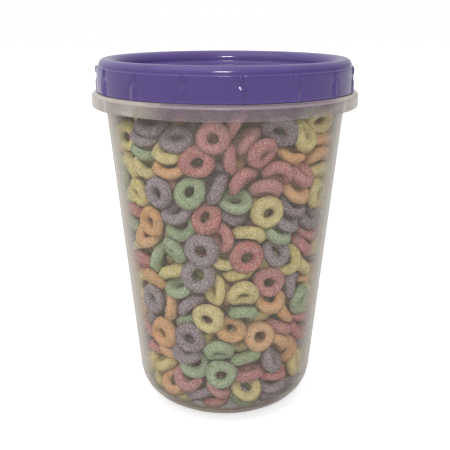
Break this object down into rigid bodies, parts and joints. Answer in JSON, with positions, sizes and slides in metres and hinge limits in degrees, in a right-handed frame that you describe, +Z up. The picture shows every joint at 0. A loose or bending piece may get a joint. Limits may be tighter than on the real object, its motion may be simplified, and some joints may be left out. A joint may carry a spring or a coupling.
{
  "type": "food storage container",
  "caption": "Round tapered translucent plastic tub with a turned-down collar and a screw-on purple lid with finger grips and a stacking recess.",
  "frame": {"origin": "centre of the foot ring on the surface the tub stands on", "axes": "+Z up along the tub's axis, -Y towards the front, +X to the right seen from the front"},
  "size_m": [0.1188, 0.1188, 0.162],
  "materials": {
    "tub_plastic": "milky translucent natural polypropylene, lightly glossy",
    "lid_plastic": "purple moulded plastic with a soft gloss"
  },
  "bodies": {
    "tub": {"tub": "tub_plastic"},
    "lid": {"lid": "lid_plastic"}
  },
  "joints": [
    {"name": "lid_lift", "type": "slide", "parent": "tub", "child": "lid", "axis": [0, 0, 1], "range_m": [0, 0.04]}
  ]
}
